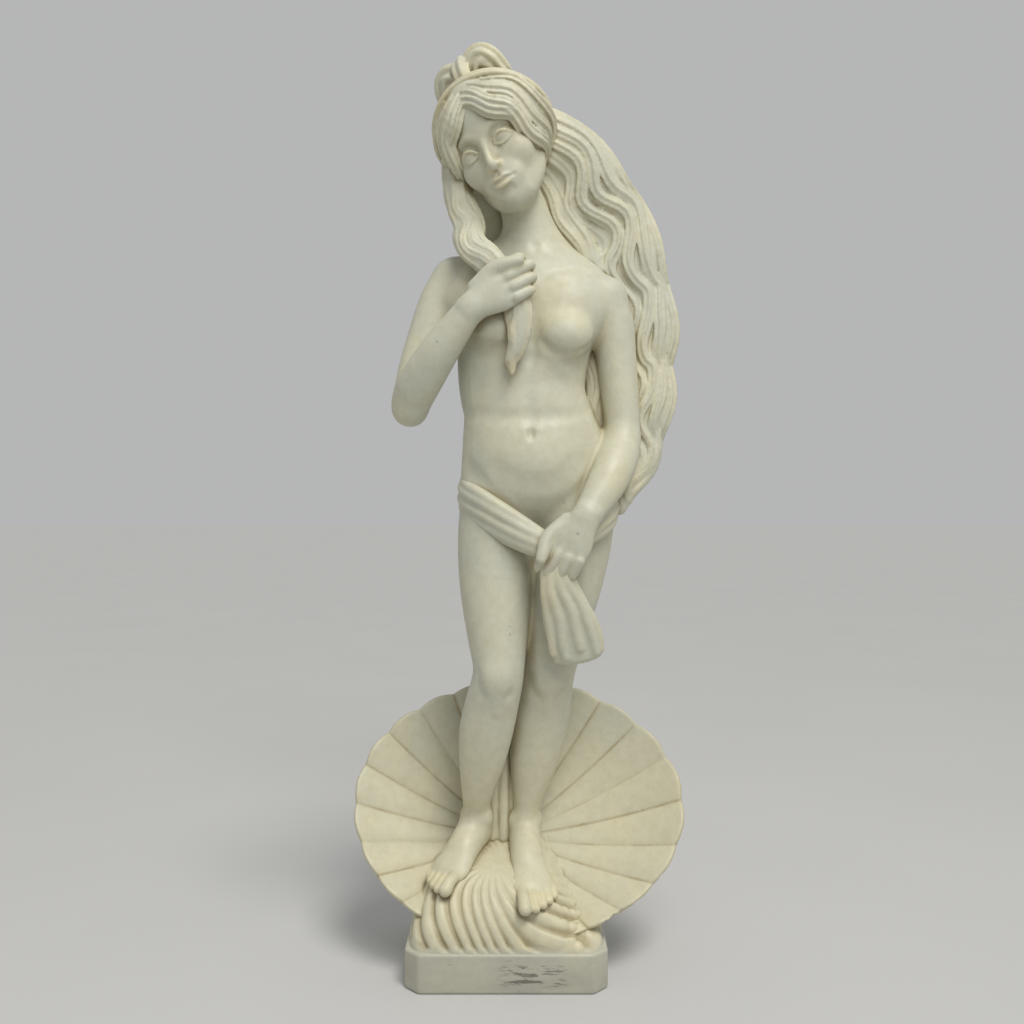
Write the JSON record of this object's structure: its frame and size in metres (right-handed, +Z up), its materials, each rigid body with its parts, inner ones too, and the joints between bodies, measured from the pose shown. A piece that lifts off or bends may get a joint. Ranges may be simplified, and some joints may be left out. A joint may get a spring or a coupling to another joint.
{
  "type": "aphrodite statue",
  "caption": "Pale cast figure of a goddess standing in a scallop shell, on heaped water and a low plinth; a free-standing ornament for a garden or a room.",
  "frame": {"origin": "centre of the plinth's underside", "axes": "+Z up, -Y out of the front of the plinth, which the figure faces, +X to the viewer's right"},
  "size_m": [0.3056, 0.1635, 0.8386],
  "materials": {
    "cast_resin": "matte cream-white cast resin, a little yellower in the hollows"
  },
  "bodies": {
    "root": {"statue": "cast_resin"}
  },
  "joints": []
}
